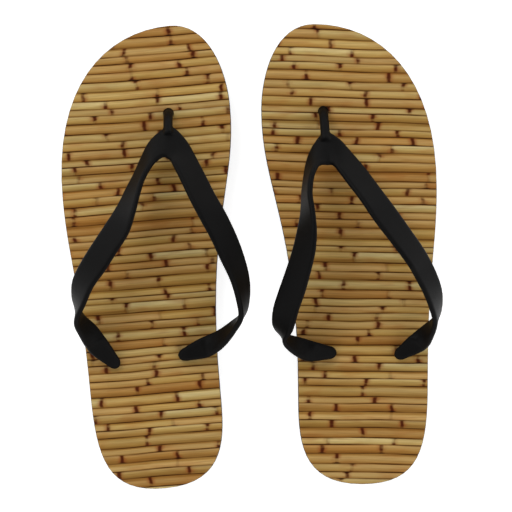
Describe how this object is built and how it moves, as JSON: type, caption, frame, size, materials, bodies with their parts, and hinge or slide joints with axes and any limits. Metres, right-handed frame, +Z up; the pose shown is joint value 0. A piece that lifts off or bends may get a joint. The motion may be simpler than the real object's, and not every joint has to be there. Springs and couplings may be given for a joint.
{
  "type": "pair of thong sandals",
  "caption": "Pair of thong spa slippers: flat slab soles with a bamboo-print cloth footbed, and moulded rubber Y straps held by buttons under the soles.",
  "frame": {"origin": "on the floor under the middle of the pair's box", "axes": "+X across the pair towards the right sandal's outer side, +Y from heels to toes, +Z up"},
  "size_m": [0.2316, 0.2828, 0.0618],
  "materials": {
    "tread_rubber": "matt moulded black rubber with tread grooves",
    "midsole_foam": "matt black closed-cell foam with a cut edge",
    "cushion_foam": "matt dark grey soft foam with a cut edge",
    "printed_cloth": "fine smooth cloth printed with a photograph-like bamboo cane pattern",
    "strap_rubber": "satin smooth moulded black rubber"
  },
  "bodies": {
    "left_sandal": {"left_outsole": "tread_rubber", "left_midsole": "midsole_foam", "left_cushion": "cushion_foam", "left_footbed": "printed_cloth", "left_strap": "strap_rubber"},
    "right_sandal": {"right_outsole": "tread_rubber", "right_midsole": "midsole_foam", "right_cushion": "cushion_foam", "right_footbed": "printed_cloth", "right_strap": "strap_rubber"}
  },
  "joints": [
    {"name": "right_sandal_lift", "type": "slide", "parent": "left_sandal", "child": "right_sandal", "axis": [0, 0, 1], "range_m": [0, 0.15]}
  ]
}
